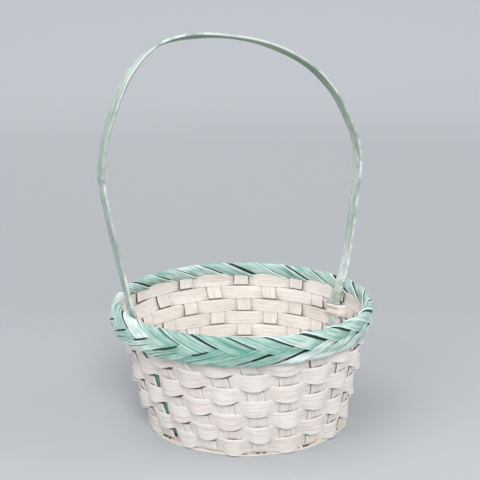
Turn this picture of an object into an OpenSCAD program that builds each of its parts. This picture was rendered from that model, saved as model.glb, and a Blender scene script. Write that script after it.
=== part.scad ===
// Round splint basket with a plaited rim and a fixed arch handle.
// Twelve long splints cross under the base and turn up as twenty-four stakes.
// Eight flat weavers go round them, and twenty-four folded splints cover the rim.
// The origin is the centre of the base, on the surface that the basket stands on.
// +Z is up and the handle's arch stands over the X axis.

/* [Wall] */
// Radius over the stakes at the foot of the wall
foot_r = 86; // [84:0.5:88]
// Radius over the stakes where the wall is woven last, at shoulder height
shoulder_r = 98.6; // [97:0.2:99.6]
// Radius over the stakes inside the rim
neck_r = 103.8; // [103:0.1:104]
// Width of the splints that make the stakes
splint_w = 12.5; // [11:0.1:12.6]
// Thickness of the splints that make the stakes
splint_t = 1; // [0.8:0.1:1]
// How far the stakes are spread unevenly round the basket, in degrees
creep = 5.5; // [0:0.5:6]
// How far the stakes lean as they rise, in degrees round the basket
lean = 9.5; // [0:0.5:10]

/* [Weavers] */
// Width of a weaver, which is the height of a row
weaver_h = 11; // [9:0.1:11.2]
// Thickness of a weaver
weaver_t = 0.8; // [0.6:0.1:0.9]
// Distance from one row to the next
row_pitch = 11.65; // [11.6:0.05:11.7]
// Height of the middle of the lowest row
first_row = 8.8; // [8.8:0.1:9]

/* [Base] */
// Width of the flat hoop under the base
base_hoop_w = 10; // [8:0.5:12]
// Thickness of the flat hoop under the base
base_hoop_t = 0.9; // [0.7:0.1:0.9]

/* [Rim] */
// Radius over the plaited rim
rim_r = 110.3; // [110:0.1:112]
// Height of the crest of the rim
rim_top = 105.4; // [105:0.1:106]
// Gap between two neighbouring rim splints, in degrees round the basket
rim_gap = 0.8; // [0.8:0.1:2]

/* [Handle] */
// Width of the bamboo strip
handle_w = 11; // [9:0.5:11]
// Thickness of the bamboo strip
handle_t = 2.7; // [2:0.1:2.8]

/* [Hidden] */
stakes = 24;
rows = 8;
splints = stakes/2;
pitch = 360/stakes;
slack = 0.25;
// The splints lie on the base hoop, one level up where they cross over another.
base_z = base_hoop_t + 0.1;
over_rise = splint_t + 0.15;
// Half the length of the level stretch at each crossing of the base
crossing_half = 8;
// Radius at which the splints leave the base to turn up
turn_r = foot_r - 4;
// Height up to which the stakes lean
lean_top = 95;
// Height at which the handle's legs are straight and clear of the rim
leg_top = 96;
leg_foot = 8;
leg_clear_r = 99.3;
// The left leg follows its leaning stake, in degrees round the basket.
leg_lean = 12.5;
left_stake = splints;
// Flat length of a weaver where it passes a stake
flat_w = 16.4;
stake_top = 99.5;
// Radius over the stakes against height
wall_line = [
    [2, foot_r - 1], [6, foot_r - 0.4], [80, shoulder_r],
    [leg_top, neck_r], [stake_top, neck_r + 0.6]
];
stake_levels = [6, 24, 42, 62, 80, 88, 96, stake_top];
// Section of the rim's skin, from its inner lower edge over the crest to its outer lower edge:
// [radius, height, angle round the basket in degrees, inward offset of the inner face]
rim_line = [
    [rim_r - 8.7, rim_top - 9.2, -37, [1, 0.1]],
    [rim_r - 8.1, rim_top - 4.9, -30, [1, -0.1]],
    [rim_r - 6.5, rim_top - 1.4, -24.5, [0.75, -0.75]],
    [rim_r - 3.7, rim_top, -20, [0, -1]],
    [rim_r - 1.1, rim_top - 1.5, -16, [-0.8, -0.7]],
    [rim_r - 0.2, rim_top - 5.1, -11, [-1, -0.1]],
    [rim_r, rim_top - 9.3, -5.5, [-1, 0]],
    [rim_r, rim_top - 13.4, 0, [-1, 0]],
    [rim_r - 0.3, rim_top - 17.4, -6.5, [-1, 0]],
    [rim_r - 0.3, rim_top - 21.4, -13, [-1, 0]]
];
rim_first = 4.2;
// Centre line of the handle above the rim: [distance from the axis, height]
handle_line = [
    [leg_clear_r, leg_top], [99.7, 100.5], [101.5, 105.5], [104.4, 111], [109.3, 128],
    [113.4, 150], [116.6, 178], [118.9, 208], [115.6, 228], [107, 247], [90, 272],
    [62, 296], [20, 312.6], [-22, 319.4], [-56, 318.6], [-80, 311], [-100, 292],
    [-113.5, 268], [-121.4, 240], [-122.9, 216], [-119.8, 190], [-113.2, 157],
    [-106.5, 125], [-103.2, 111], [-101.2, 105.5], [-99.7, 100.5], [-leg_clear_r, leg_top]
];
handle_steps = 2;

function two_digits(n) = n < 10 ? str("0", n) : str(n);
function wall_r(z) = lookup(z, wall_line);
function around(r, angle, side, z) = [
    r*cos(angle) - side*sin(angle), r*sin(angle) + side*cos(angle), z
];
function crowding(j) = creep*pow((1 - sin(pitch*j - 10))/2, 3);
function slant(j) = lean*pow((1 - cos(pitch*j + 5))/2, 4) + lean/3*(1 - sin(pitch*j + 30))/2;
function risen(z, top) = 1 - pow(min(z, top)/top, 2);
function stake_angle(j, z) = pitch*j - 1 + crowding(j) + slant(j)*risen(z, lean_top);
function flat_cross(a, b) = a[0]*b[1] - a[1]*b[0];
function unit(v) = v/norm(v);

// A solid swept through sections that all have the same number of points
module swept(sections) {
    n = len(sections[0]);
    last = len(sections) - 1;
    polyhedron(
        points = [for (s = sections) each s],
        faces = concat(
            [[for (k = [n - 1:-1:0]) k]],
            [for (i = [0:last - 1]) for (k = [0:n - 1])
                let (a = i*n + k, b = i*n + (k + 1) % n)
                each [[a, b + n, a + n], [a, b, b + n]]],
            [[for (k = [0:n - 1]) last*n + k]]
        )
    );
}

// ---- Base and stakes ----

// Splints 0 to 5 run one way across the base and 6 to 11 the other way.
function near_end(i) = i < 6 ? i - 3 + 24 : i - 6 + 3;
function far_end(i) = i < 6 ? 14 - i : 26 - i;
function foot_angle(j) = stake_angle(j % stakes, 0);
function foot_point(j) = around(turn_r, foot_angle(j), 0, 0);

// How far along splint i, from 0 to 1, it meets splint m of the other set
function meeting(i, m) =
    let (a = foot_point(near_end(i)), b = foot_point(far_end(i)))
    let (p = foot_point(near_end(m)), q = foot_point(far_end(m)))
    flat_cross(p - a, q - p)/flat_cross(b - a, q - p);

function base_section(i, t, level) =
    let (a = foot_angle(near_end(i)), b = foot_angle(far_end(i)), w = splint_w/2)
    let (left = around(turn_r, a, -w, 0)*(1 - t) + around(turn_r, b, w, 0)*t)
    let (right = around(turn_r, a, w, 0)*(1 - t) + around(turn_r, b, -w, 0)*t)
    let (low = [0, 0, base_z + level*over_rise], up = [0, 0, splint_t])
    [left + low, right + low, right + low + up, left + low + up];

function wall_section(j, z, flip) =
    let (a = stake_angle(j % stakes, z), r = wall_r(z), w = splint_w/2*flip)
    [around(r, a, -w, z), around(r, a, w, z),
     around(r - splint_t, a, w, z), around(r - splint_t, a, -w, z)];

function turn_sections(j, flip) =
    let (a = foot_angle(j), w = splint_w/2*flip, t = splint_t)
    [[around(turn_r, a, -w, base_z), around(turn_r, a, w, base_z),
      around(turn_r, a, w, base_z + t), around(turn_r, a, -w, base_z + t)],
     [around(foot_r - 1.2, a, -w, base_z + 1), around(foot_r - 1.2, a, w, base_z + 1),
      around(foot_r - 2, a, w, base_z + 1.7), around(foot_r - 2, a, -w, base_z + 1.7)]];

module stake_splint(i) {
    other = i < 6 ? [6:11] : [0:5];
    length_across = norm(foot_point(far_end(i)) - foot_point(near_end(i)));
    met = [for (m = other) [meeting(i, m), (i + m + (i < 6 ? 0 : 1)) % 2]];
    order = met[0][0] < met[5][0] ? [0:5] : [5:-1:0];
    near = near_end(i);
    far = far_end(i);
    half = crossing_half/length_across;
    color("antiquewhite") swept(concat(
        [for (n = [len(stake_levels) - 1:-1:0]) wall_section(near, stake_levels[n], 1)],
        [turn_sections(near, 1)[1], turn_sections(near, 1)[0]],
        [for (c = order) for (s = [-1, 1])
            base_section(i, met[c][0] + s*half, met[c][1])],
        [turn_sections(far, -1)[0], turn_sections(far, -1)[1]],
        [for (z = stake_levels) wall_section(far, z, -1)]
    ));
}

module base_hoop() {
    color("antiquewhite") difference() {
        cylinder(r = turn_r + 1.5, h = base_hoop_t, $fn = 96);
        translate([0, 0, -1])
            cylinder(r = turn_r + 1.5 - base_hoop_w, h = base_hoop_t + 2, $fn = 96);
    }
}

// ---- Weavers ----

function passes_outside(j, k) = (j + k) % 2 == 1;
function holds_leg(j) = j == 0 || j == left_stake;

// Distance from the axis to the inner face of weaver k where it passes stake j
function weaver_r(j, k, low, high) = passes_outside(j, k)
    ? wall_r(high) + slack
    : wall_r(low) - splint_t - slack - weaver_t - (holds_leg(j) ? handle_t + 5*slack : 0);

module weaver(k) {
    mid = first_row + row_pitch*k;
    low = mid - weaver_h/2;
    color("antiquewhite") translate([0, 0, low]) linear_extrude(weaver_h) difference() {
        weaver_outline(k, low, mid, weaver_t);
        weaver_outline(k, low, mid, 0);
    }
}

module weaver_outline(k, low, mid, outward) {
    polygon([for (j = [0:stakes - 1]) for (s = [-1, 1])
        let (r = weaver_r(j, k, low, low + weaver_h) + outward)
        let (p = around(r, stake_angle(j, mid), s*flat_w/2, 0)) [p[0], p[1]]]);
}

// ---- Rim ----

// One splint: up the inside, over the crest, down to the fold and back to the lower edge
module rim_splint(n) {
    half = (pitch - rim_gap)/2;
    color("mediumaquamarine") swept([for (s = rim_line)
        let (a = rim_first + pitch*n + s[2], r = s[0] + s[3][0], z = s[1] + s[3][1])
        concat(
            [for (d = [-half, 0, half]) around(s[0], a + d, 0, s[1])],
            [for (d = [half, 0, -half]) around(r, a + d, 0, z)]
        )]);
}

// Flat bamboo hoop outside the ends of the stakes
module rim_hoop() {
    hoop_low = rim_top - 19.9;
    hoop_high = stake_top + 0.1;
    color("burlywood") translate([0, 0, hoop_low]) difference() {
        cylinder(r = rim_r - 2.4, h = hoop_high - hoop_low, $fn = 96);
        translate([0, 0, -1]) cylinder(r = rim_r - 4.7, h = hoop_high - hoop_low + 2, $fn = 96);
    }
}

// Round cane that fills the crest of the rim above the stakes
module rim_cane() {
    color("burlywood") rotate_extrude($fn = 96)
        translate([rim_r - 4, rim_top - 3.6]) circle(r = 1.7, $fn = 24);
}

// ---- Handle ----

function leg_r(z) = min(wall_r(z) - splint_t - 2*slack - handle_t/2, leg_clear_r);
function left_angle(z) = 180 + leg_lean*risen(z, leg_top);
function right_angle(z) = stake_angle(0, z)*risen(z, leg_top);

// A smooth curve through the points of handle_line
function curve_at(p, i, t) =
    let (a = p[max(i - 1, 0)], b = p[i], c = p[i + 1], d = p[min(i + 2, len(p) - 1)])
    0.5*(2*b + (c - a)*t + (2*a - 5*b + 4*c - d)*t*t + (3*b - a - 3*c + d)*t*t*t);

module handle() {
    leg_levels = [leg_foot, 30, 52, 70, 80, 88];
    last = len(handle_line) - 1;
    arch = [for (i = [0:last - 1]) for (s = [0:handle_steps - 1])
        curve_at(handle_line, i, s/handle_steps)];
    path = concat(
        [for (z = leg_levels) around(leg_r(z), right_angle(z), 0, z)],
        [for (p = concat(arch, [handle_line[last]])) [p[0], 0, p[1]]],
        [for (n = [len(leg_levels) - 1:-1:0])
            around(leg_r(leg_levels[n]), left_angle(leg_levels[n]), 0, leg_levels[n])]
    );
    ways = concat(
        [for (z = leg_levels) right_angle(z)],
        [for (p = arch) 0], [0],
        [for (n = [len(leg_levels) - 1:-1:0]) left_angle(leg_levels[n]) - 180]
    );
    end = len(path) - 1;
    color("darkseagreen") swept([for (i = [0:end])
        let (along = unit(path[min(i + 1, end)] - path[max(i - 1, 0)]))
        let (side = [-sin(ways[i]), cos(ways[i]), 0])
        let (across = unit(side - along*(side*along)))
        let (w = across*handle_w/2, t = cross(along, across)*handle_t/2)
        [path[i] - w + t, path[i] + w + t, path[i] + w - t, path[i] - w - t]]);
}

base_hoop();
for (i = [1:splints])
    stake_splint(i - 1);
for (k = [1:rows]) weaver(k - 1);
rim_hoop();
rim_cane();
for (n = [1:stakes])
    rim_splint(n - 1);
handle();
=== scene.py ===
# %% [markdown]
# # A small round basket of painted splints
# The real basket is woven from flat strips of wood, called splints. Twelve long ones cross
# under the base and turn up as twenty-four stakes. Eight weavers go round them, one a row.
# Green splints are plaited over the rim, and one strip of bamboo makes the handle.
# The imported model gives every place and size, so it is loaded first and never moved.

# %% Load the frame
import math
import random

import bpy
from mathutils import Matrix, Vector, noise


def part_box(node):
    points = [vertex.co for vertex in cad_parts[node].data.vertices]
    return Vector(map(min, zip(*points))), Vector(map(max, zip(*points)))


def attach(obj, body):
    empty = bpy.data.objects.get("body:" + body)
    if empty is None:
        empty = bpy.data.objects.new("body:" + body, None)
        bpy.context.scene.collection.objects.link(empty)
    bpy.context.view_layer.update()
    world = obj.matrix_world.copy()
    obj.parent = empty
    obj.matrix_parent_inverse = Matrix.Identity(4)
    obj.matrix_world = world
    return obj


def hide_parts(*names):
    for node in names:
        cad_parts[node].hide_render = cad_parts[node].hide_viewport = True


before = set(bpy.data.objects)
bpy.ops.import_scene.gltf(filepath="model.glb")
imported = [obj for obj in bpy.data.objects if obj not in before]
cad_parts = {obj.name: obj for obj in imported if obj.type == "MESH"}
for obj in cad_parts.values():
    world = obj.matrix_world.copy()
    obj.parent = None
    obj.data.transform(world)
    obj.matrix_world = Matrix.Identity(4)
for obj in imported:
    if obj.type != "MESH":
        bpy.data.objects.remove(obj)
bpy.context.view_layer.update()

MM = 0.001
print("nodes in the frame:", len(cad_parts))

# %% [markdown]
# ## Camera, floor and light
# The camera stands a good 0.8 m away and looks down by 14 degrees, so the rim shows as an
# ellipse and the inside of the far wall can be seen. A long lens keeps the perspective mild.

# %% Camera
LENS_MM = 76.4
CAMERA_PLACE = Vector((-0.4246, -0.7015, 0.3573))
CAMERA_TILT, CAMERA_TURN = math.radians(76.04), math.radians(-31)

camera_data = bpy.data.cameras.new("camera")
camera_data.lens = LENS_MM
camera_data.sensor_width = 36
camera = bpy.data.objects.new("camera", camera_data)
camera.location = CAMERA_PLACE
camera.rotation_euler = (CAMERA_TILT, 0, CAMERA_TURN)
bpy.context.scene.collection.objects.link(camera)
bpy.context.scene.camera = camera
bpy.context.scene.view_settings.view_transform = "Standard"
print("camera at", [round(v, 3) for v in camera.location])

# %% [markdown]
# Materials are made of nodes. One function turns a colour as a painter writes it, in sRGB
# hex, into the linear numbers that light is worked out in. Another adds one node, sets its
# values and joins its inputs, so that each finish reads as a list of steps.

# %% Helpers for materials
def linear(hex_colour):
    channels = [int(hex_colour[i:i + 2], 16) / 255 for i in (1, 3, 5)]
    curve = [c / 12.92 if c <= 0.04045 else ((c + 0.055) / 1.055) ** 2.4 for c in channels]
    return (*curve, 1.0)


def add(tree, kind, inputs=None, **settings):
    """Adds a node. An input's value is a number, a colour, or the output socket it is joined to."""
    made = tree.nodes.new(kind)
    for key, value in settings.items():
        setattr(made, key, value)
    for key, value in (inputs or {}).items():
        if isinstance(value, bpy.types.NodeSocket):
            tree.links.new(value, made.inputs[key])
        else:
            made.inputs[key].default_value = value
    return made


def new_material(name):
    """A material with an empty node tree apart from its surface shader."""
    material = bpy.data.materials.new(name)
    material.use_nodes = True
    tree = material.node_tree
    return material, tree, tree.nodes["Principled BSDF"]


def steps(tree, value, low, high):
    """Stretches the part of a value between low and high to 0 to 1."""
    return add(tree, "ShaderNodeMapRange", {
        "Value": value, "From Min": low, "From Max": high}).outputs["Result"]


def mixed(tree, factor, first, second):
    return add(tree, "ShaderNodeMix", {"Factor": factor, "A": first, "B": second},
               data_type="RGBA").outputs["Result"]


print("linear grey of #808080:", round(linear("#808080")[0], 3))

# %% [markdown]
# The floor is a wide pale disc that curves up at its edge, like the paper sweep in a studio.
# It is a filled circle whose edge is extruded up and outwards in steps, along a quarter of
# an arc, so no line of a horizon shows from any side.

# %% Floor
FLOOR_FLAT_R = 1.6
SWEEP_R = 0.9
SWEEP_STEPS = 10


def model_floor():
    bpy.ops.object.select_all(action="DESELECT")
    bpy.ops.mesh.primitive_circle_add(vertices=96, radius=FLOOR_FLAT_R, fill_type="NGON")
    floor = bpy.context.object
    floor.name = "studio_floor"
    bpy.ops.object.mode_set(mode="EDIT")
    bpy.ops.mesh.select_all(action="SELECT")
    for step in range(1, SWEEP_STEPS + 1):
        turn = math.pi / 2 * step / SWEEP_STEPS
        before = math.pi / 2 * (step - 1) / SWEEP_STEPS
        radius = FLOOR_FLAT_R + SWEEP_R * math.sin(turn)
        grow = radius / (FLOOR_FLAT_R + SWEEP_R * math.sin(before))
        rise = SWEEP_R * (math.cos(before) - math.cos(turn))
        bpy.ops.mesh.select_mode(type="EDGE")
        if step == 1:
            bpy.ops.mesh.select_all(action="SELECT")
            bpy.ops.mesh.region_to_loop()
        bpy.ops.mesh.extrude_region_move(TRANSFORM_OT_translate={"value": (0, 0, rise)})
        bpy.ops.transform.resize(value=(grow, grow, 1), center_override=(0, 0, 0))
    bpy.ops.object.mode_set(mode="OBJECT")
    bpy.ops.object.shade_smooth_by_angle(angle=math.radians(40))
    return floor


floor = model_floor()
print("floor faces:", len(floor.data.polygons))

# %% [markdown]
# The floor is matt paper in a cool grey. The light falls off behind the basket, so the paper
# is painted a little darker there and up the sweep. A flat grey would do, but it would show
# the basket's pale rim and wall less clearly.

# %% Paper
FAR_SIDE = (0.515, 0.857, 0)         # the way the camera looks along the floor
FLAT_FADE_M = (-0.25, 0.32)          # the floor darkens between these distances that way
SWEEP_FADE_M = (1.9, 2.7)            # and again between these distances from the middle


def matte_paper():
    material, tree, shader = new_material("matte_paper_sweep")
    where = add(tree, "ShaderNodeTexCoord").outputs["Object"]
    apart = add(tree, "ShaderNodeVectorMath", {0: where}, operation="LENGTH").outputs["Value"]
    behind = add(tree, "ShaderNodeVectorMath", {0: where, 1: FAR_SIDE},
                 operation="DOT_PRODUCT").outputs["Value"]
    flat_part = mixed(tree, steps(tree, behind, *FLAT_FADE_M),
                      linear("#C2C5C8"), linear("#ACAFB3"))
    swept_part = mixed(tree, steps(tree, apart, *SWEEP_FADE_M), flat_part, linear("#A7AAAF"))
    tree.links.new(swept_part, shader.inputs["Base Color"])
    shader.inputs["Roughness"].default_value = 0.9
    shader.inputs["Specular IOR Level"].default_value = 0.1
    return material


floor.data.materials.append(matte_paper())
print("paper on:", floor.name)

# %% [markdown]
# A studio lights such a piece with big soft boxes high up, so that every strip has a pale top
# and a shaded underside, and the shadows on the floor stay faint. Sun lamps with a wide disc
# do that here, because they light the whole sweep of paper as evenly as the basket.

# %% Light
SOFT_SUNS = {
    # name: (direction it comes from, strength, width of its disc in degrees, colour)
    "key_sun": ((-0.35, -0.95, 0.75), 1.6, 24, "#FFFEFC"),
    "side_sun": ((-1.0, -0.2, 0.5), 0.75, 40, "#FFFFFF"),
    "fill_sun": ((0.9, -0.5, 0.6), 0.6, 40, "#FFFFFF"),
    "top_sun": ((-0.3, 0.1, 1.0), 0.7, 40, "#FFFFFF"),
}

for name, (comes_from, strength, disc, colour) in SOFT_SUNS.items():
    light = bpy.data.lights.new(name, "SUN")
    light.energy, light.angle = strength, math.radians(disc)
    light.color = linear(colour)[:3]
    lamp = bpy.data.objects.new(name, light)
    lamp.rotation_euler = Vector(comes_from).to_track_quat("Z", "Y").to_euler()
    bpy.context.scene.collection.objects.link(lamp)

world = bpy.data.worlds.new("studio")
world.use_nodes = True
world.node_tree.nodes["Background"].inputs["Color"].default_value = linear("#F2F4F7")
world.node_tree.nodes["Background"].inputs["Strength"].default_value = 0.58
bpy.context.scene.world = world
print("soft suns:", len(SOFT_SUNS))

# %% [markdown]
# ## Finishes
# All the strips are wood, so all their patterns run along the strip. Each strip carries a
# map of itself, called grain, which is measured in metres along it and across it. A noise
# that is squeezed across the strip and stretched along it makes fibres at a real width.

# %% Grain helpers
FIBRE_MM = 0.5      # real fibres are near 0.2 mm; they are drawn coarser so that they show
STREAK_MM = 1.3
FIBRE_RUN_MM = 14
PATCH_MM = 12


def stretched(tree, across_mm, along_mm, shift=0.0, detail=3.0):
    """Noise in long thin streaks: one feature is across_mm wide and along_mm long."""
    grain = add(tree, "ShaderNodeUVMap", uv_map="grain")
    scale = (1 / (along_mm * MM), 1 / (across_mm * MM), 1.0)
    mapped = add(tree, "ShaderNodeMapping", {
        "Vector": grain.outputs["UV"], "Scale": scale, "Location": (shift, shift, 0)})
    return add(tree, "ShaderNodeTexNoise", {
        "Vector": mapped.outputs["Vector"], "Scale": 1.0, "Detail": detail}).outputs["Fac"]


def bumped(tree, shader, height, depth_mm, before=None):
    bump = add(tree, "ShaderNodeBump", {
        "Height": height, "Distance": depth_mm * MM, "Strength": 1.0})
    if before is not None:
        tree.links.new(before, bump.inputs["Normal"])
    tree.links.new(bump.outputs["Normal"], shader.inputs["Normal"])
    return bump.outputs["Normal"]


def attribute(tree, name):
    return add(tree, "ShaderNodeAttribute", attribute_name=name).outputs["Fac"]


def outer_face(tree):
    """1 on faces that look away from the basket's axis and 0 on those that look towards it."""
    flat = (1.0, 1.0, 0.0)
    place = add(tree, "ShaderNodeTexCoord").outputs["Object"]
    radial = add(tree, "ShaderNodeVectorMath", {0: place, 1: flat}, operation="MULTIPLY")
    normal = add(tree, "ShaderNodeNewGeometry").outputs["Normal"]
    facing = add(tree, "ShaderNodeVectorMath", {0: normal, 1: radial.outputs["Vector"]},
                 operation="DOT_PRODUCT").outputs["Value"]
    return add(tree, "ShaderNodeMath", {0: facing, 1: 0.0},
               operation="GREATER_THAN").outputs["Value"]


print("fibre width, mm:", FIBRE_MM)

# %% [markdown]
# ### Whitewashed splint
# Thin poplar or bamboo splint, washed with white paint that soaks in. The wood's warm tone
# shows through along the fibres, and the paint lies dry and matt, a little whiter where the
# brush left more. A colour mixed from three noises of different width gives that.

# %% Whitewashed splint
def whitewashed_splint():
    material, tree, shader = new_material("whitewashed_poplar_splint")
    fibres = stretched(tree, FIBRE_MM, FIBRE_RUN_MM)
    streaks = stretched(tree, STREAK_MM, 3 * FIBRE_RUN_MM, shift=7.3)
    patches = stretched(tree, PATCH_MM, 5 * PATCH_MM, shift=3.1, detail=1.0)
    colour = mixed(tree, steps(tree, patches, 0.3, 0.7), linear("#E6DED7"), linear("#F2EDE8"))
    colour = mixed(tree, steps(tree, streaks, 0.48, 0.75), colour, linear("#D9CCC1"))
    colour = mixed(tree, steps(tree, fibres, 0.54, 0.78), colour, linear("#C4B5A8"))
    colour = mixed(tree, steps(tree, fibres, 0.45, 0.25), colour, linear("#FAF8F5"))
    # paler edges: wear, and along the weavers' edges a painted highlight
    worn_and_lit = steps(tree, attribute(tree, "wear_and_light"), 0.0, 1.6)
    colour = mixed(tree, worn_and_lit, colour, linear("#FCFAF6"))
    # painted shade: dark lines in the narrow gaps where one strip lies over another, for the face
    # looked at
    shade_line = add(tree, "ShaderNodeMix", {
        "Factor": outer_face(tree), "A": attribute(tree, "shade_line_in"),
        "B": attribute(tree, "shade_line_out")}).outputs["Result"]
    shade_line_colour = mixed(tree, steps(tree, fibres, 0.3, 0.7), linear("#5C4D42"), linear("#8F7F71"))
    colour = mixed(tree, steps(tree, shade_line, -0.2, 0.5), colour, shade_line_colour)
    tree.links.new(colour, shader.inputs["Base Color"])
    rough = steps(tree, streaks, -0.6, 1.4)
    tree.links.new(rough, shader.inputs["Roughness"])
    shader.inputs["Specular IOR Level"].default_value = 0.25
    first = bumped(tree, shader, fibres, 0.1)
    bumped(tree, shader, streaks, 0.1, before=first)
    return material


WHITEWASH = whitewashed_splint()
print("made", WHITEWASH.name)

# %% [markdown]
# ### Mint splint
# The same splint in a thin mint paint, dry-brushed with white. Where a strip stands proud
# the brush has caught it and it is nearly white, and where it dives under the next strip it
# is painted dark, partly painted shade of the gap and partly the first dark coat of green.

# %% Mint splint
def mint_splint():
    material, tree, shader = new_material("mint_dry_brushed_splint")
    fibres = stretched(tree, FIBRE_MM, FIBRE_RUN_MM)
    streaks = stretched(tree, STREAK_MM, 4 * FIBRE_RUN_MM, shift=5.7)
    patches = stretched(tree, PATCH_MM / 2, 2 * PATCH_MM, shift=9.2, detail=2.0)
    worn_and_lit = attribute(tree, "wear_and_light")
    coat_and_shade = attribute(tree, "coat_and_shade")
    colour = mixed(tree, steps(tree, patches, 0.35, 0.65), linear("#8CB9AD"), linear("#B4D0C8"))
    colour = mixed(tree, steps(tree, streaks, 0.47, 0.66), colour, linear("#5C9383"))
    brush = add(tree, "ShaderNodeMath", {0: fibres, 1: worn_and_lit}, operation="ADD").outputs["Value"]
    colour = mixed(tree, steps(tree, brush, 0.52, 0.85), colour, linear("#EEF7F4"))
    colour = mixed(tree, attribute(tree, "tone"), colour, linear("#5FA48F"))
    # painted shade in the gaps under the strips, over the first dark coat of green
    colour = mixed(tree, steps(tree, coat_and_shade, 0.0, 1.0), colour, linear("#15392F"))
    tree.links.new(colour, shader.inputs["Base Color"])
    rough = steps(tree, streaks, -0.5, 1.5)
    tree.links.new(rough, shader.inputs["Roughness"])
    shader.inputs["Specular IOR Level"].default_value = 0.3
    first = bumped(tree, shader, fibres, 0.12)
    bumped(tree, shader, streaks, 0.3, before=first)
    return material


MINT = mint_splint()
print("made", MINT.name)

# %% [markdown]
# ### Sage bamboo
# The handle is split bamboo. Its skin side is hard and smooth, and the white dry-brush sits
# on it in long scratches over a grey green. High on the arch, the side that faces its middle
# is painted a darker green, as painted shade. One finish does both, with an attribute that
# says where the shade is painted.

# %% Sage bamboo
def sage_bamboo():
    material, tree, shader = new_material("sage_dry_brushed_bamboo")
    fibres = stretched(tree, 0.5, 5)
    streaks = stretched(tree, 2.0, 30, shift=2.2)
    patches = stretched(tree, 3, 8, shift=4.4, detail=3.0)
    worn_and_lit = attribute(tree, "wear_and_light")
    colour = mixed(tree, steps(tree, patches, 0.35, 0.65), linear("#A5B7AB"), linear("#C3CEC6"))
    colour = mixed(tree, steps(tree, streaks, 0.5, 0.75), colour, linear("#8AA394"))
    brush = add(tree, "ShaderNodeMath", {0: fibres, 1: worn_and_lit}, operation="ADD").outputs["Value"]
    colour = mixed(tree, steps(tree, brush, 0.5, 0.72), colour, linear("#E6EDE9"))
    # tone: random darker patches and the knot's groove, and low on the left leg a painted shade
    colour = mixed(tree, attribute(tree, "tone"), colour, linear("#3C7A5F"))
    underside_shade_colour = mixed(tree, steps(tree, streaks, 0.35, 0.65), linear("#5C7862"), linear("#A3B79F"))
    # painted shade: high on the arch, the side that faces its middle is a darker green
    colour = mixed(tree, attribute(tree, "inner"), colour, underside_shade_colour)
    tree.links.new(colour, shader.inputs["Base Color"])
    rough = steps(tree, streaks, -0.4, 1.6)
    tree.links.new(rough, shader.inputs["Roughness"])
    shader.inputs["Specular IOR Level"].default_value = 0.35
    first = bumped(tree, shader, fibres, 0.1)
    bumped(tree, shader, patches, 0.25, before=first)
    return material


SAGE = sage_bamboo()
print("made", SAGE.name)

# %% [markdown]
# ## Laying a strip
# Every strip on the basket is the same thing: a long flat ribbon with a width, a thickness
# and a route. It could be a curve with a profile, but then its edges could not be worn or
# its width vary. So a grid is added with bpy.ops, each of its points is laid on the route
# by a function of how far along and how far across it is, and Solidify and Bevel give the
# splint its thickness and its softened edges.

# %% A ribbon laid on a route
SPLINT_T = 0.9


def ribbon(name, along, across, place, length_mm, width_mm, thick_mm, soft_mm=0.12,
           marks=None):
    """A strip. place(t, w) gives its middle surface in mm, t along and w across, 0 to 1.
    Each of marks is an attribute for its paint, as a rule of t and w."""
    bpy.ops.object.select_all(action="DESELECT")
    bpy.ops.mesh.primitive_grid_add(x_subdivisions=along, y_subdivisions=across, size=1)
    strip = bpy.context.object
    strip.name = strip.data.name = name
    mesh = strip.data
    spots = [(v.co.x + 0.5, v.co.y + 0.5) for v in mesh.vertices]
    for layer, rule in (marks or {}).items():
        values = mesh.attributes.new(layer, "FLOAT", "POINT")
        for index, (t, w) in enumerate(spots):
            values.data[index].value = rule(t, w)
    grain = mesh.uv_layers.active
    grain.name = "grain"
    shift = random.Random(name).uniform(0, 40)
    for loop in mesh.loops:
        t, w = spots[loop.vertex_index]
        grain.uv[loop.index].vector = (t * length_mm * MM + shift, w * width_mm * MM + shift)
    for vertex, (t, w) in zip(mesh.vertices, spots):
        vertex.co = Vector(place(t, w)) * MM
    thick = strip.modifiers.new("thickness", "SOLIDIFY")
    thick.thickness, thick.offset = thick_mm * MM, 0
    soft = strip.modifiers.new("soft_edges", "BEVEL")
    soft.width, soft.segments = soft_mm * MM, 2
    soft.limit_method, soft.angle_limit = "ANGLE", math.radians(55)
    for modifier in ("thickness", "soft_edges"):
        bpy.ops.object.modifier_apply(modifier=modifier)
    bpy.ops.object.shade_smooth_by_angle(angle=math.radians(40))
    return strip


def stand_for(strip, node, material):
    """Finishes a piece: gives it its material, hangs it on the root body and hides the node it
    stands for.
    """
    strip.data.materials.clear()
    strip.data.materials.append(material)
    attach(strip, "root")
    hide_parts(node)


def wander(seed, x, size=1.0):
    """A smooth random value from -1 to 1 that changes over a distance of size."""
    return noise.noise(Vector((x / size, seed * 7.31, seed * 3.17)))


def ease(x):
    """0 below 0 and 1 above 1, with a smooth turn between."""
    x = min(1.0, max(0.0, x))
    return x * x * (3 - 2 * x)


def blend(a, b, t):
    return a + (b - a) * t


print("splint thickness, mm:", SPLINT_T)

# %% [markdown]
# ## The wall's shape
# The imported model's stakes stand round a cone that flares a little under the rim. They are
# not spread evenly: towards one side they have crept round and they lean. The same rules
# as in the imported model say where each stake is. On top of them a few stakes in front creep
# on a little, the foot turns in, and the wall sways to one side by up to 3.6 mm.

# %% Where the stakes stand
STAKES = 24
ROWS = 8
PITCH = 360 / STAKES
FOOT_R, SHOULDER_R, NECK_R = 85.6, 98.4, 103.6
NECK_Z, SHOULDER_Z, FOOT_Z, LEAN_TOP = 96, 80, 6, 95
CREEP, LEAN = 5.5, 9.5
FRONT_CREEP = 2.6                    # degrees that a few stakes in front creep on
FRONT_CREEP_AT, FRONT_CREEP_FADE = 234, 42
FOOT_IN = 1.2                        # the wall turns in a little at the foot
RIGHT_STAKE, LEFT_STAKE = 0, 12      # the handle's legs go down inside these two


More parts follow.
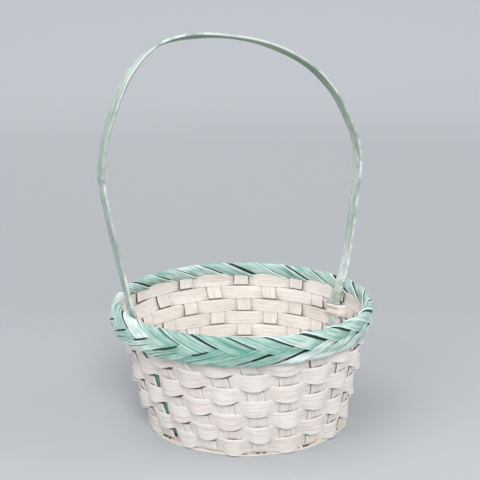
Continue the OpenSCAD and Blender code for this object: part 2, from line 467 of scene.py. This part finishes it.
def wall_r(z):
    """Radius over the stakes at a height, with a soft turn at the shoulder."""
    slope = (SHOULDER_R - FOOT_R) / (SHOULDER_Z - FOOT_Z)
    cone = FOOT_R + slope * (z - FOOT_Z)
    flare = NECK_R - FOOT_R - slope * (NECK_Z - FOOT_Z)
    bulge = 1.3 * ease(z / 60) * ease((98 - z) / 12)
    return cone + flare * ease((z - 70) / (NECK_Z - 70)) + bulge - FOOT_IN * ease((26 - z) / 26)


def stake_angle(j, z):
    a = math.radians(PITCH * j)
    crowding = CREEP * ((1 - math.sin(a - math.radians(10))) / 2) ** 3
    slant = LEAN * ((1 - math.cos(a + math.radians(5))) / 2) ** 4
    slant += LEAN / 3 * (1 - math.sin(a + math.radians(30))) / 2
    crowding -= FRONT_CREEP * ease(1.3 - abs(PITCH * j - FRONT_CREEP_AT) / FRONT_CREEP_FADE)
    return PITCH * j - 1 + crowding + slant * (1 - (min(z, LEAN_TOP) / LEAN_TOP) ** 2)


# how far the wall sways at a height, as (height, mm), and which way
SWAY = [(0, 3.6), (12, 3.0), (34, 1.3), (66, 1.2), (82, -1.8), (92, -1.6), (103, 0)]
SWAY_TOWARDS = math.radians(-31)


def in_table(table, x):
    """The value at x in a table of (x, value), eased between its entries."""
    for (x0, v0), (x1, v1) in zip(table, table[1:]):
        if x0 <= x < x1:
            return blend(v0, v1, ease((x - x0) / (x1 - x0)))
    return table[0][1] if x < table[0][0] else table[-1][1]


def around(r, angle, side, z):
    """A point at a radius and an angle. The wall sways a little to one side between foot and rim."""
    a = math.radians(angle)
    sway = in_table(SWAY, z)
    x = r * math.cos(a) - side * math.sin(a) + sway * math.cos(SWAY_TOWARDS)
    return (x, r * math.sin(a) + side * math.cos(a) + sway * math.sin(SWAY_TOWARDS), z)


row_z = [sum(v.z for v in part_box(f"weaver_{k + 1}")) / 2 / MM for k in range(ROWS)]
print("rows at, mm:", [round(z, 1) for z in row_z])

# %% [markdown]
# ## Stakes
# One splint makes two stakes and the stretch of base between them. Its route runs down one
# stake, round the turn at the foot, across the base over and under the splints that cross
# it, and up the other stake.

# %% Routes of the stakes
STAKE_W, STAKE_T = 12.4, 0.95
STAKE_TOP = 99.5
BASE_Z, OVER_RISE = 1.5, 1.15
TURN_R = 80.5
TURN_POINTS = 5
STATION = 1.4
WALL_IN = 0.5       # the middle of a strip lies this far inside the wall's outer face
PUSHED_ASIDE = -0.9                  # the stake at the left leg is pushed aside by the leg
SHADE_LINE = 0.45       # width of the painted shade line beside a strip that lies on top
SHADE_LINE_FADE = 0.4
# how far a weaver covers a stake below and above its own middle, by the face looked at
COVERED_OUTSIDE, COVERED_INSIDE = (9.4, 5.6), (5.6, 6.0)
SHADE_LINE_CURVE = 1.6  # the line outside fades towards the stake's edges, as the arch does


def ends_of(i):
    return ((i - 3) % STAKES, (14 - i) % STAKES) if i < 6 else (i - 3, 26 - i)


def foot_point(j):
    return Vector(around(TURN_R, stake_angle(j, 0), 0, 0))


def crossings(i):
    """Where splint i meets the six that cross it, as (share of its length, 1 for over)."""
    a, b = (foot_point(j) for j in ends_of(i))
    found = []
    for m in (range(6, 12) if i < 6 else range(6)):
        p, q = (foot_point(j) for j in ends_of(m))
        share = (p - a).cross(q - p).z / (b - a).cross(q - p).z
        found.append((share, (i + m + (0 if i < 6 else 1)) % 2))
    return sorted(found)


def base_level(met, t):
    """Height of the splint in the base, from 0 under to 1 over, with eased steps."""
    knots = [(0.0, 0)] + met + [(1.0, 0)]
    for (t0, level0), (t1, level1) in zip(knots, knots[1:]):
        if t <= t1:
            return blend(level0, level1, ease(1.6 * (t - t0) / (t1 - t0) - 0.3))
    return 0


def covered(j, z, outside):
    """Above 0 where a weaver lies on this face of stake j at this height, or just beside it."""
    if z < FOOT_Z - 3:
        return -1
    depths = [-1]
    below, above = COVERED_OUTSIDE if outside else COVERED_INSIDE
    for k, middle in enumerate(row_z):
        if (j + k) % 2 == outside:
            low = middle - below - SHADE_LINE
            high = middle + above + SHADE_LINE
            depths.append(min(z - low, high - z) / SHADE_LINE_FADE)
    return max(depths)


def rise_stations(j, flip):
    """Stations from the foot up one stake: (middle, direction across)."""
    made = []
    for n in range(TURN_POINTS):
        turn = math.pi / 2 * n / TURN_POINTS
        r = TURN_R + (wall_r(FOOT_Z) - WALL_IN - TURN_R) * math.sin(turn)
        z = BASE_Z + (FOOT_Z - BASE_Z) * (1 - math.cos(turn))
        made.append((r, z))
    levels = [FOOT_Z + STATION * n for n in range(90)]
    made += [(wall_r(z) - WALL_IN, z) for z in levels if z < STAKE_TOP]
    stations = []
    for r, z in made:
        angle = stake_angle(j, z)
        a = math.radians(angle)
        across = Vector((-math.sin(a), math.cos(a), 0)) * flip
        r += 0.35 * wander(j + 3, z, 30)
        aside = PUSHED_ASIDE * (1 - ease((z - 76) / 12)) if j == LEFT_STAKE else 0
        place = Vector(around(r, angle, aside + 0.5 * wander(j, z, 40), z))
        stations.append((place, across, covered(j, z, 1), covered(j, z, 0)))
    return stations


def splint_stations(i):
    near, far = ends_of(i)
    met = crossings(i)
    down = list(reversed(rise_stations(near, 1)))
    up = rise_stations(far, -1)
    start, side0 = down[-1][:2]
    stop, side1 = up[0][:2]
    count = round((stop - start).length / 2)
    middle = []
    for n in range(1, count):
        t = n / count
        p = start.lerp(stop, t)
        p.z = BASE_Z + OVER_RISE * base_level(met, t)
        middle.append((p, side0.lerp(side1, t), -1, -1))
    return down + middle + up


print("splint 1 crosses at", [(round(t, 2), up) for t, up in crossings(0)])

# %% [markdown]
# Each of the twelve splints is now one ribbon on its route. Its edges wander a little, as a
# split strip's do, and where a weaver crosses it, a thin line of painted shade lies beside
# the weaver, for the shadow in the narrow gap there.

# %% Stake splints
def lay_stake_splint(i):
    stations = splint_stations(i)
    last = len(stations) - 1

    def place(t, w):
        middle, across = stations[round(t * last)][:2]
        width = STAKE_W * (1 + 0.05 * wander(i + 40, t * last * 2, 35))
        width += 0.25 * wander(i + 60 + round(w), t * last * 2, 3)
        return middle + across * width * (w - 0.5)

    marks = {
        "wear_and_light": lambda t, w: 0.5 * ease((0.1 - min(w, 1 - w)) / 0.1),
        # painted shade lines beside the weavers that cross the stake
        "shade_line_out": lambda t, w: stations[round(t * last)][2] - SHADE_LINE_CURVE * (2 * w - 1) ** 2,
        "shade_line_in": lambda t, w: stations[round(t * last)][3],
    }
    return ribbon(f"stake_splint_{i + 1:02d}_strip", last, 4, place, last * STATION * 1.1,
                  STAKE_W, STAKE_T, marks=marks)


for i in range(STAKES // 2):
    stand_for(lay_stake_splint(i), f"stake_splint_{i + 1:02d}", WHITEWASH)
print("stake splints laid:", STAKES // 2)

# %% [markdown]
# ## Weavers
# Each row is one strip, over one stake and behind the next. In front of a stake it bows out
# in a soft arch and its lower edge stands off, which gives the shadow line under each arch.
# Behind a stake it is pulled flat. Its two ends overlap by a stake and a half. One arch could
# be modelled and copied round, but then no two ends would meet and every arch would be
# alike, so the whole row is one ribbon whose route is a rule of the angle.

# %% Weavers
WEAVER_W, WEAVER_T = 12.0, 0.75
BOW = 2.5
OVER_STAKE = 1.0    # a strip this far out just clears a stake
LAP_RISE = 0.9      # the end that laps lies this much further out
MM_A_DEGREE = 1.68  # length of a weaver for each degree of its turn
STEPS_A_STAKE = 20
# along a weaver, these are counted in stakes from the middle of one, so 0.5 is half way
ARCH_HALF, FRONT_HALF, STAKE_HALF = 0.4, 0.44, 0.252
# the painted shade lines: one beside each stake, and one on the upper edge, under the next arch
SIDE_LINE_FADE = 0.018
UPPER_LINE_W, UPPER_LINE_FADE, UPPER_LINE_HALF, END_FADE = 0.47, 0.03, 0.46, 0.02
UNPAINTED = -6      # a mark this low paints nothing
FRONT_WIDER, FRONT_DROP = 1.9, 0.95  # an arch shows wider and hangs lower than its row
FLAT_SLOPE, FRONT_SLOPE = 0.03, 0.2  # how far the lower edge stands off
WEAVER_LAP = 24
WEAVER_STARTS, START_SHIFT = (120, 322), 3
CRUSH_ROW, CRUSH_Q = 6, 24.1         # where a leg was pushed in, one weaver is crushed
CRUSH_NARROW, CRUSH_BUCKLE, CRUSH_DROP, CRUSH_TILT = 0.22, 0.8, 1.6, 2.5
LEG_ROOM = 2.9      # a weaver that passes outside a leg makes this much room for it


def stake_count(z):
    """Two lists that turn an angle into a count of stakes: the angles, and the counts."""
    counts = list(range(-STAKES, 3 * STAKES))
    angles = [stake_angle(j % STAKES, z) + 360 * (j // STAKES) for j in counts]
    return angles, counts


def count_at(table, angle):
    angles, counts = table
    for n in range(len(angles) - 1):
        if angles[n] <= angle < angles[n + 1]:
            return counts[n] + (angle - angles[n]) / (angles[n + 1] - angles[n])
    return 0


def lay_weaver(k):
    z_row = row_z[k]
    table = stake_count(z_row)
    start = WEAVER_STARTS[k % 2] + START_SHIFT * k
    turn = 360 + WEAVER_LAP
    steps_along = STAKES * STEPS_A_STAKE
    bows = [BOW * random.Random(100 * k + j).uniform(0.75, 1.3) for j in range(STAKES)]
    beside = math.cos(math.pi / 4)

    def place(t, w):
        angle = start + turn * t
        q = count_at(table, angle)
        out = -math.cos(math.pi * (q + k))
        stake = round(q) % STAKES
        aside = abs(q - round(q))
        off = OVER_STAKE * max(-1, min(1, out / beside))
        if out > 0:
            off += (bows[stake] - OVER_STAKE) * max(0, 1 - (aside / ARCH_HALF) ** 2)
        elif stake in (RIGHT_STAKE, LEFT_STAKE):
            off -= LEG_ROOM * ease(-out / 0.45)
        lap = ease((angle - start - 360 + 5) / 10)
        off += LAP_RISE * lap
        front = max(0, 1 - (aside / FRONT_HALF) ** 2) if out > 0 else 0
        slope = blend(FLAT_SLOPE, FRONT_SLOPE, front)
        width = WEAVER_W * (1 + 0.015 * wander(k + 11, q, 1.7)) + FRONT_WIDER * front
        width += 0.22 * wander(k + 21 + 5 * round(w), q * 26, 4)
        crush = ease(1.6 - 2 * abs(q - CRUSH_Q)) if k == CRUSH_ROW else 0
        width *= 1 - CRUSH_NARROW * crush
        off -= CRUSH_BUCKLE * crush * math.sin(3 * math.pi * w)
        v = (w - 0.5) * width - crush * (CRUSH_DROP + CRUSH_TILT * (q - CRUSH_Q))
        z = z_row + 0.35 * wander(k + 31, q, 2.3) - FRONT_DROP * front + v
        r = wall_r(z) - WALL_IN + off - slope * v
        return around(r, angle, 0, z)

    def beside_stake(t, outside):
        """Above 0 where a stake lies on this face of the weaver, or just beside it."""
        q = count_at(table, start + turn * t)
        hides = (round(q) + k) % 2 != outside
        return (STAKE_HALF - abs(q - round(q))) / SIDE_LINE_FADE if hides else UNPAINTED

    def under_next(t, w):
        """Above 0 along the upper edge, where the next row's arch hangs over it."""
        q = count_at(table, start + turn * t)
        aside = abs(q - round(q))
        if (round(q) + k) % 2 == 1 or k == ROWS - 1:
            return UNPAINTED
        lowest = UPPER_LINE_W + aside
        return min((w - lowest) / UPPER_LINE_FADE, (UPPER_LINE_HALF - aside) / END_FADE)

    marks = {
        # pale edges: partly wear, partly a painted highlight
        "wear_and_light": lambda t, w: 0.9 * ease((0.05 - min(w, 1 - w)) / 0.05),
        # painted shade lines beside each stake and along the upper edge, under the next arch
        "shade_line_out": lambda t, w: max(beside_stake(t, 1) - 0.6, under_next(t, w)),
        "shade_line_in": lambda t, w: max(beside_stake(t, 0) - 1, (w - 0.95) / 0.06),
    }
    return ribbon(f"weaver_{k + 1}_strip", steps_along, 6, place, turn * MM_A_DEGREE,
                  WEAVER_W, WEAVER_T, marks=marks)


for k in range(ROWS):
    stand_for(lay_weaver(k), f"weaver_{k + 1}", WHITEWASH)
print("weavers laid:", ROWS)

# %% [markdown]
# ## Base hoop
# A flat splint runs round under the edge of the base, and the basket stands on it. It could
# be a flattened torus, but a split strip has an uneven edge, and its end laps over its
# start. So it is a ribbon too, laid flat, with its outer edge moved in and out a little.

# %% Base hoop
HOOP_R, HOOP_W, HOOP_T = 81.2, 9, 0.8
HOOP_START, HOOP_TURN, HOOP_LENGTH = 20, 372, 500
HOOP_LAP_FROM = 382                  # the angle at which its end climbs onto its start
HOOP_Z, HOOP_LAP_RISE = 0.5, 0.3
HOOP_SHADED_W = 0.84                 # the stakes shade the hoop as far out as this


def lay_base_hoop():
    def place(t, w):
        angle = HOOP_START + HOOP_TURN * t
        lap = ease((angle - HOOP_LAP_FROM) / 4) * HOOP_LAP_RISE
        r = HOOP_R + (w - 0.5) * HOOP_W + 1.3 * wander(5, angle, 14)
        if w == 1:
            r += 0.5 * wander(6, angle, 2.5)
        return around(r, angle, 0, HOOP_Z + lap + 0.5 * w * max(0, wander(7, angle, 12)))

    marks = {
        "wear_and_light": lambda t, w: 0.3 * ease((w - 0.9) / 0.1),
        # painted shade where the stakes overhang the hoop
        "shade_line_out": lambda t, w: (HOOP_SHADED_W - w) / 0.05,
        "shade_line_in": lambda t, w: -1,
    }
    return ribbon("base_hoop_strip", 360, 5, place, HOOP_LENGTH, HOOP_W, HOOP_T, marks=marks)


stand_for(lay_base_hoop(), "base_hoop", WHITEWASH)
print("base hoop laid")

# %% [markdown]
# ## Rim
# The rim is plaited from one splint for every stake. Each comes up the inside, goes over
# the crest and slants down outside, dives under its neighbours, folds at the lower edge and
# comes back up over the next ones, until it is tucked away. The rim's surface is a section
# that is carried round the basket, so a strip is laid out flat on it, as distance round
# the rim and distance over the section, and lifted where it passes over another.

# %% The rim's surface
RIM_SECTION = [
    (104.0, 92.8), (102.4, 96.2), (102.2, 100.2), (103.2, 103.2), (105.0, 104.4), (107.0, 103.0),
    (107.9, 99.8), (108.2, 92.0), (107.7, 85.4), (106.8, 83.6), (104.6, 83.4), (103.4, 85.0),
]
RIM_MEAN_R = 106.0
SECTION_STEPS = 12


def smooth_line(points, steps_each):
    """A smooth curve through points, as a longer list of points."""
    made = []
    for n in range(len(points) - 1):
        a, b = points[max(n - 1, 0)], points[n]
        c, d = points[n + 1], points[min(n + 2, len(points) - 1)]
        for s in range(steps_each):
            t = s / steps_each
            made.append(tuple(
                0.5 * (2 * b[i] + (c[i] - a[i]) * t + (2 * a[i] - 5 * b[i] + 4 * c[i] - d[i]) * t**2
                       + (3 * b[i] - a[i] - 3 * c[i] + d[i]) * t**3) for i in range(len(b))))
    return made + [points[-1]]


def with_distance(line, zero_at):
    """Adds the distance along the line, counted from the point with that number."""
    total, marks = 0.0, [0.0]
    for p, q in zip(line, line[1:]):
        total += math.dist(p, q)
        marks.append(total)
    return [m - marks[zero_at] for m in marks]


rim_curve = smooth_line(RIM_SECTION, SECTION_STEPS)
rim_marks = with_distance(rim_curve, SECTION_STEPS)


def on_rim(a_mm, s_mm, lift):
    """A point a_mm round the rim and s_mm over its section, lifted off its surface."""
    n = sum(mark <= s_mm for mark in rim_marks[1:-1])
    share = (s_mm - rim_marks[n]) / (rim_marks[n + 1] - rim_marks[n])
    (r0, z0), (r1, z1) = rim_curve[n], rim_curve[n + 1]
    length = math.dist((r0, z0), (r1, z1))
    # the surface faces left of its direction: up at the crest, out on the outside
    out_r, out_z = -(z1 - z0) / length, (r1 - r0) / length
    r = blend(r0, r1, share) + out_r * lift
    z = blend(z0, z1, share) + out_z * lift
    return around(r, math.degrees(a_mm / RIM_MEAN_R), 0, z)


print("rim section, mm over it:", round(rim_marks[-1], 1))

# %% [markdown]
# Each splint of the plait is laid as two ribbons, the run that slants down and the run that
# comes back up, and then joined. They could be one ribbon with a fold, but the fold is
# hidden under the next splint, and two flat runs are easier to lay and to paint. Beside
# each run a dark stretch is painted, partly painted shade of the gap under it and partly the
# first dark coat.

# %% Rim splints
TIP_FIRST = -3.3    # degrees round the rim to the first tip
TIP_S = 22.6
INNER_END, LOWER_END = rim_marks[0] + 0.5, rim_marks[-1] - 1
DOWN_SLOPE, UP_SLOPE = math.radians(21.2), math.radians(18)
DOWN_TO = 34                         # mm over the section, where the first run is tucked away
UP_TO, UP_TO_NEAR = 28.5, 18.5       # mm past the tip, where the second run's two edges end
DOWN_W, UP_W = 12.6, 9.6
# degrees round the rim at which its splints are most split, narrowest and palest
SPLIT_AT, NARROW_AT, PALE_AT = 185, -50, 180
# lifts in mm off the rim's surface; a pair is the lift at the tip and the lift further on
CREST_LIFT, SIDE_LIFT, TUCKED_LIFT = 0.9, 1.5, -0.45
UPPER_EDGE, LOWER_EDGE, CLIMB = (0.1, 0.25), (0.95, 0.45), 1.75
TIP_APART = math.radians(PITCH) * RIM_MEAN_R
SHOWN_W = TIP_APART * math.sin(DOWN_SLOPE) / DOWN_W


def down_lift(s, w, height):
    """Lift of the run that slants down: its lower edge, at w = 0, rides over the next strip."""
    edge = blend(CREST_LIFT, SIDE_LIFT, ease((s - 12) / 9)) * height
    return blend(edge, TUCKED_LIFT, w)


def up_lift(along, w):
    """Lift of the run that comes back up. Its upper edge, at w = 0, is low until it climbs over
    the splint's own tip, and then both edges go down under the next splint."""
    climb = ease((along + 6) / 6) * (1 - ease((along - 3) / 12))
    upper = blend(*UPPER_EDGE, ease((along - 3) / 12)) + CLIMB * climb
    lower = blend(*LOWER_EDGE, ease((along - 10) / 12))
    return blend(upper, lower, min(1, w * 1.3))


def lay_rim_splint(n):
    chance = random.Random(500 + n)
    tip_a = math.radians(TIP_FIRST + PITCH * n + chance.uniform(-0.6, 0.6)) * RIM_MEAN_R
    tip_s = TIP_S + chance.uniform(-0.8, 0.8)
    down_w = DOWN_W + chance.uniform(-0.7, 0.5)
    narrow = ease((math.cos(math.radians(PITCH * n - NARROW_AT)) + 0.1) / 0.6)
    up_w = UP_W - 4.2 * narrow * chance.uniform(0.7, 1.1) + chance.uniform(-0.3, 0.3)
    height = chance.uniform(0.8, 1.15)
    split_here = ease((math.cos(math.radians(PITCH * n - SPLIT_AT)) - 0.6) / 0.2)
    pale_here = ease((math.cos(math.radians(PITCH * n - PALE_AT)) - 0.85) / 0.15)
    pale = chance.uniform(0.0, 0.25) + 0.15 * pale_here
    c, s_ = math.cos(DOWN_SLOPE), math.sin(DOWN_SLOPE)
    cu, su = math.cos(UP_SLOPE), math.sin(UP_SLOPE)
    down_from, down_to = (INNER_END - tip_s) / s_, (DOWN_TO - tip_s) / s_
    up_from = (tip_s - LOWER_END) / su

    def down_spot(t, w):
        ragged = 0.012 * wander(n, t * 100, 3) if w in (0, 1) else 0
        across = down_w * (w + ragged)
        along = blend(down_from + across * c / s_, down_to, t)
        return tip_a + along * c + across * s_, tip_s + along * s_ - across * c

    def under_return(a, s):
        """How far a spot is below the upper edge of the splint's own returning run."""
        return s - (tip_s - (a - tip_a) * math.tan(UP_SLOPE))

    def place_down(t, w):
        a, s = down_spot(t, w)
        ripple = 0.12 * wander(n + 70, t * 100, 12)
        lift = down_lift(s + down_w * w * 0.6, w, height) + ripple
        return on_rim(a, s, blend(lift, -0.5, ease(under_return(a, s) / 4)))

    def up_spot(t, w):
        ragged = 0.015 * wander(n + 9, t * 50, 3) if w in (0, 1) else 0
        across = up_w * (w + ragged)
        along = blend(up_from + across * cu / su, blend(UP_TO_NEAR, UP_TO, w), t)
        return tip_a + along * cu + across * su, tip_s - along * su + across * cu

    def place_up(t, w):
        a, s = up_spot(t, w)
        along = (a - tip_a) * cu - (s - tip_s) * su
        return on_rim(a, s, up_lift(along, w) + 0.1 * wander(n + 90, t * 60, 9))

    def wear_and_light_down(t, w):
        return pale - 0.1 + 0.32 * ease((0.05 - w) / 0.04) * height + 0.15 * wander(n, t, 0.15)

    # painted shade, with the first dark coat: under the neighbour's lower edge and under the
    # splint's own returning run
    def coat_and_shade_down(t, w):
        return max((w - SHOWN_W + 0.12) / 0.03, (under_return(*down_spot(t, w)) - 0.3) / 0.8)

    def tone_down(t, w):
        under = under_return(*down_spot(t, w))
        return 0.75 * ease((under + 7) / 7) * ease(0.5 + 0.9 * wander(n + 5, t * 30, 4))

    def wear_and_light_up(t, w):
        return pale - 0.12 * split_here + 0.3 * ease((w - 0.93) / 0.05) + 0.2 * wander(n, t, 0.2)

    # painted shade, with the first dark coat: in the gap along the upper edge and down the split of
    # split strips
    def coat_and_shade_up(t, w):
        a, s = up_spot(t, w)
        along = (a - tip_a) * cu - (s - tip_s) * su
        near_tip = min(along + 14, blend(-1, 13, split_here) - along) / 2
        split = (0.05 - abs(w - 0.56)) / 0.03
        gap = min((0.165 - w) / 0.03, near_tip) - 4 * narrow
        return max(gap, min(split, near_tip) - 4 * (1 - split_here))

    def tone_up(t, w):
        return 0.5 * ease((t - 0.45) / 0.4) * ease(0.5 + 0.9 * wander(n + 15, t * 15, 3))

    down = ribbon(f"rim_splint_{n + 1:02d}_plait", 64, 12, place_down, down_to - down_from, down_w,
                  SPLINT_T, marks={"wear_and_light": wear_and_light_down, "coat_and_shade": coat_and_shade_down, "tone": tone_down})
    up = ribbon(f"rim_splint_{n + 1:02d}_return", 32, 9, place_up, UP_TO - up_from, up_w,
                SPLINT_T, marks={"wear_and_light": wear_and_light_up, "coat_and_shade": coat_and_shade_up, "tone": tone_up})
    bpy.ops.object.select_all(action="DESELECT")
    up.select_set(True)
    down.select_set(True)
    bpy.context.view_layer.objects.active = down
    bpy.ops.object.join()
    return down


for n in range(STAKES):
    stand_for(lay_rim_splint(n), f"rim_splint_{n + 1:02d}", MINT)
print("rim splints laid:", STAKES)

# %% [markdown]
# Under the plait a flat hoop stands outside the tops of the stakes, and a round cane lies
# near its top, so that the crest is full. Both show only as glimpses between the splints.
# The hoop is one more ribbon. The cane is a plain torus, as nothing of its shape can be seen.

# %% Hoop and cane inside the rim
CANE_R, CANE_Z, CANE_THICK = 104.3, 100.9, 2.2
STIFF_R, STIFF_Z, STIFF_W, STIFF_T = 104.9, 87, 12, 1.2
STIFF_START, STIFF_TURN, STIFF_LENGTH = 40, 368, 660


def lay_rim_hoop():
    def place(t, w):
        return around(STIFF_R + 0.2 * t, STIFF_START + STIFF_TURN * t, 0, STIFF_Z + STIFF_W * w)

    # painted dark all over: painted shade for the glimpses of the hoop between the splints
    marks = {"wear_and_light": lambda t, w: 0.0, "coat_and_shade": lambda t, w: 0.6, "tone": lambda t, w: 0.5}
    return ribbon("rim_hoop_strip", 144, 3, place, STIFF_LENGTH, STIFF_W, STIFF_T, marks=marks)


def lay_rim_cane():
    bpy.ops.object.select_all(action="DESELECT")
    bpy.ops.mesh.primitive_torus_add(
        major_radius=CANE_R * MM, minor_radius=CANE_THICK / 2 * MM, major_segments=144,
        minor_segments=12, location=(0, 0, 0))
    cane = bpy.context.object
    cane.name = cane.data.name = "rim_cane_ring"
    bpy.ops.object.mode_set(mode="EDIT")
    bpy.ops.mesh.select_all(action="SELECT")
    bpy.ops.transform.translate(value=(0, 0, CANE_Z * MM))
    bpy.ops.object.mode_set(mode="OBJECT")
    cane.data.uv_layers.active.name = "grain"
    bpy.ops.object.shade_smooth_by_angle(angle=math.radians(60))
    return cane


stand_for(lay_rim_hoop(), "rim_hoop", MINT)
stand_for(lay_rim_cane(), "rim_cane", MINT)
print("hoop and cane laid")

# %% [markdown]
# ## Handle
# One flat strip of split bamboo, bent by hand over steam, so its arch is not quite even.
# Both legs go down inside the stakes, behind every second weaver. A curve with a flat
# profile would do for the bend, but the strip also twists, swells at a knot and has rough
# edges, so a ribbon is laid on a smooth line through a few points, and turned as it goes.

# %% Handle
HANDLE_W, HANDLE_T = 10.4, 2.1
HANDLE_LINE = [
    (99.3, 96), (100.2, 100.5), (101.6, 105.5), (103.6, 111), (107.6, 128), (110.6, 150),
    (114.2, 178), (116.9, 208), (114.0, 228), (105.0, 247), (88.5, 272), (60.5, 296),
    (20, 313.2), (-22, 320.2), (-57, 319.4), (-81, 311.5), (-100.5, 292.5), (-113, 268),
    (-122.2, 240), (-124.8, 216), (-120.8, 190), (-113.8, 157), (-106.8, 125), (-104.0, 111),
    (-101.6, 105.5), (-100.2, 100.5), (-99.3, 96),
]
LEG_LEVELS = [8, 14, 22, 30, 38, 46, 54, 62, 70, 76, 82, 88]
LEG_LEAN = 14.0
# the strip's turn about its own length, as (distance from the axis, degrees)
TWIST = [(-130, 0), (-105, -3), (-85, 8), (-70, 17), (-45, 20), (-10, 7), (5, 8), (30, 11),
         (70, 5), (105, -2), (130, 0)]
TWIST_Z, TWIST_FADE = 215, 60        # the twist starts at this height and is full 60 mm up
UNDERSIDE_SHADE_Z, UNDERSIDE_SHADE_FADE = 236, 62          # painted shade on the arch's underside starts at this height
LEG_SHADE_Z = 85                     # below this the left leg is painted a darker green, as painted shade where it shows through the wall
ARCH_MIDDLE = Vector((0, 0, 0.18))   # in metres, to tell the arch's inner side
KNOT = Vector((-124.5, 0, 219))      # a joint of the bamboo shows as a low bump


def leg_r(z):
    return min(wall_r(z) - 1.5 - HANDLE_T / 2, 99.3)


def handle_path():
    right = [around(leg_r(z), stake_angle(0, z) * (1 - (z / NECK_Z) ** 2), 0, z)
             for z in LEG_LEVELS]
    left = [around(leg_r(z), 180 + LEG_LEAN * (1 - (z / NECK_Z) ** 2), 0, z) for z in LEG_LEVELS]
    arch = [(x, 0.0, z) for x, z in HANDLE_LINE]
    return smooth_line(right + arch + left[::-1], 8)


def twist_at(point):
    """The strip's turn about its own length in radians. It fades out down the sides."""
    return math.radians(in_table(TWIST, point.x)) * ease((point.z - TWIST_Z) / TWIST_FADE)


def lay_handle():
    path = [Vector(p) for p in handle_path()]
    last = len(path) - 1
    legs = LEG_LEVELS[-1]

    def frame_at(i):
        """The directions across the strip and out of its outer face."""
        along = (path[min(i + 1, last)] - path[max(i - 1, 0)]).normalized()
        side = Vector((0, 1, 0))
        if path[i].z < legs:
            a = math.atan2(path[i].y, path[i].x)
            side = Vector((-math.sin(a), math.cos(a), 0))
            side = side if path[i].x > 0 else -side
        side = (side - along * side.dot(along)).normalized()
        turn = twist_at(path[i])
        out = side.cross(along)
        return side * math.cos(turn) - out * math.sin(turn), out

    def place(t, w):
        i = round(t * last)
        across, out = frame_at(i)
        width = HANDLE_W * (1 + 0.05 * wander(8, i, 22))
        if w in (0, 1):
            width += 0.5 * wander(9 + w, i, 1.5)
        crown = 0.25 * (1 - (2 * w - 1) ** 2) + 0.2 * wander(12 + w, i, 5)
        knot = math.exp(-((path[i] - KNOT).length / 3) ** 2)
        width += 0.9 * knot
        crown += 0.7 * knot
        return path[i] + across * width * (w - 0.5) + out * crown

    def wear_and_light(t, w):
        spot = path[round(t * last)]
        # painted light: the right leg is painted paler towards its end, as if more light fell on it
        lit_right_leg = 0.14 * ease((spot.x - 60) / 30)
        edges = 0.18 * ease((0.06 - min(w, 1 - w)) / 0.06)
        return max(edges, lit_right_leg) + 0.25 * wander(3, t, 0.03) - 0.06

    length = sum((q - p).length for p, q in zip(path, path[1:]))
    print("handle length, mm:", round(length))

    def tone(t, w):
        spot = path[round(t * last)]
        groove = 0.5 * math.exp(-(((spot - KNOT).length - 4.5) / 1.5) ** 2)
        scuffs = 0.5 * ease(2.2 * wander(31 + 9 * w, t * last, 2.5) - 0.3)
        # painted shade: the left leg is darker green low down, where it shows through the wall
        left_leg_shade = 0.85 * ease((LEG_SHADE_Z - spot.z) / 10) * (spot.x < 0)
        return max(left_leg_shade, groove, scuffs)

    strip = ribbon("handle_strip", last, 8, place, length, HANDLE_W, HANDLE_T, soft_mm=0.5,
                   marks={"wear_and_light": wear_and_light, "tone": tone})
    # painted shade: high on the arch, the faces that look towards its middle are painted a darker
    # green
    inner = strip.data.attributes.new("inner", "FLOAT", "POINT")
    for vertex, value in zip(strip.data.vertices, inner.data):
        facing = vertex.normal.dot((vertex.co - ARCH_MIDDLE).normalized())
        high_up = ease((vertex.co.z / MM - UNDERSIDE_SHADE_Z) / UNDERSIDE_SHADE_FADE)
        value.value = ease((0.1 - facing) / 0.5) * high_up
    return strip


stand_for(lay_handle(), "handle", SAGE)
